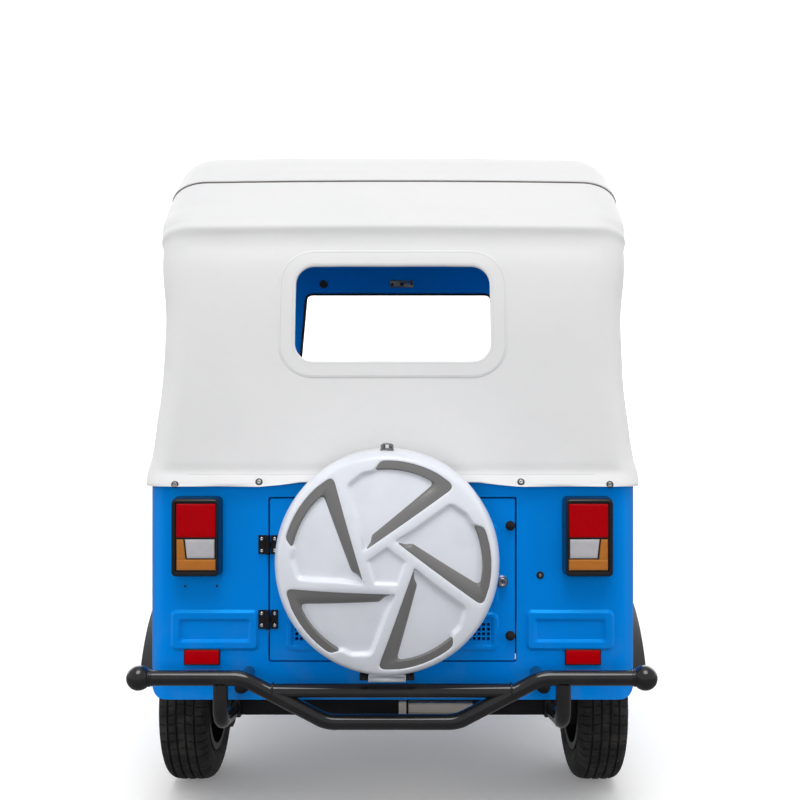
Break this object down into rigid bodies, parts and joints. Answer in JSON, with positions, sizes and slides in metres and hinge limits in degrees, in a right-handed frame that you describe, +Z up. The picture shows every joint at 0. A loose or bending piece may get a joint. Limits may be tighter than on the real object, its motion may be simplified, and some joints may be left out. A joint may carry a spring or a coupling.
{
  "type": "auto rickshaw",
  "caption": "Three-wheeled auto rickshaw with a steel tub, canvas hood, steered front wheel and a hinged rear engine lid that carries a covered spare wheel.",
  "frame": {"origin": "on the ground, in the middle of the vehicle's box", "axes": "+Y forward, +Z up, +X to the vehicle's right side"},
  "size_m": [1.3646, 2.9068, 1.8304],
  "materials": {
    "frame_steel": "satin",
    "body_blue": "gloss",
    "black_plastic": "satin",
    "window_glass": "clear",
    "hood_canvas": "matt",
    "black_paint": "satin",
    "window_film": "clear",
    "seat_vinyl": "satin",
    "red_lens": "gloss",
    "amber_lens": "gloss",
    "clear_lens": "gloss",
    "black_gloss": "gloss",
    "engine_alloy": "satin",
    "exhaust_steel": "satin",
    "bright_trim": "polished",
    "grip_rubber": "matt",
    "tyre_rubber": "matt",
    "rim_steel": "satin",
    "cover_white": "gloss",
    "blade_grey": "satin"
  },
  "bodies": {
    "chassis": {"chassis_frame": "frame_steel", "floor_pan": "body_blue", "tail_panel": "body_blue", "side_panel_left": "body_blue", "side_panel_right": "body_blue", "seat_box": "body_blue", "arch_flares": "black_plastic", "front_cowl": "body_blue", "windscreen_frame": "body_blue", "windscreen": "window_glass", "dashboard": "black_plastic", "hood_canopy": "hood_canvas", "hood_bows": "black_paint", "rear_window": "window_film", "driver_seat": "seat_vinyl", "driver_seat_base": "body_blue", "passenger_seat": "seat_vinyl", "passenger_backrest": "seat_vinyl", "partition_rail": "black_paint", "tail_lamp_housings": "black_plastic", "red_lenses": "red_lens", "amber_lenses": "amber_lens", "clear_lenses": "clear_lens", "rear_bumper": "black_gloss", "hinge_leaves": "black_paint", "engine": "engine_alloy", "half_shafts": "frame_steel", "trailing_arms": "frame_steel", "rear_dampers": "black_paint", "silencer": "exhaust_steel", "headlamp_bezel": "bright_trim", "mirrors": "black_plastic"},
    "steering": {"front_fork": "black_paint", "handlebar": "black_paint", "handle_grips": "grip_rubber", "front_mudguard": "body_blue"},
    "front_wheel": {"front_tyre": "tyre_rubber", "front_rim": "rim_steel"},
    "rear_left_wheel": {"rear_left_tyre": "tyre_rubber", "rear_left_rim": "rim_steel"},
    "rear_right_wheel": {"rear_right_tyre": "tyre_rubber", "rear_right_rim": "rim_steel"},
    "engine_lid": {"engine_lid": "body_blue", "lid_hardware": "black_paint", "spare_carrier": "black_paint", "spare_tyre": "tyre_rubber", "spare_rim": "rim_steel", "spare_cover": "cover_white", "cover_blades": "blade_grey"}
  },
  "joints": [
    {"name": "steering_turn", "type": "hinge", "parent": "chassis", "child": "steering", "pos_m": [0, 1.12913, 0.21976], "axis": [0, -0.454, 0.891], "range_deg": [-38, 38]},
    {"name": "front_wheel_spin", "type": "hinge", "parent": "steering", "child": "front_wheel", "pos_m": [0, 1.18259, 0.247], "axis": [1, 0, 0], "continuous": true},
    {"name": "rear_left_wheel_spin", "type": "hinge", "parent": "chassis", "child": "rear_left_wheel", "pos_m": [-0.58, -0.79741, 0.247], "axis": [1, 0, 0], "continuous": true},
    {"name": "rear_right_wheel_spin", "type": "hinge", "parent": "chassis", "child": "rear_right_wheel", "pos_m": [0.58, -0.79741, 0.247], "axis": [1, 0, 0], "continuous": true},
    {"name": "engine_lid_swing", "type": "hinge", "parent": "chassis", "child": "engine_lid", "pos_m": [-0.316, -1.23641, 0.65], "axis": [0, 0, -1], "range_deg": [0, 80]}
  ]
}
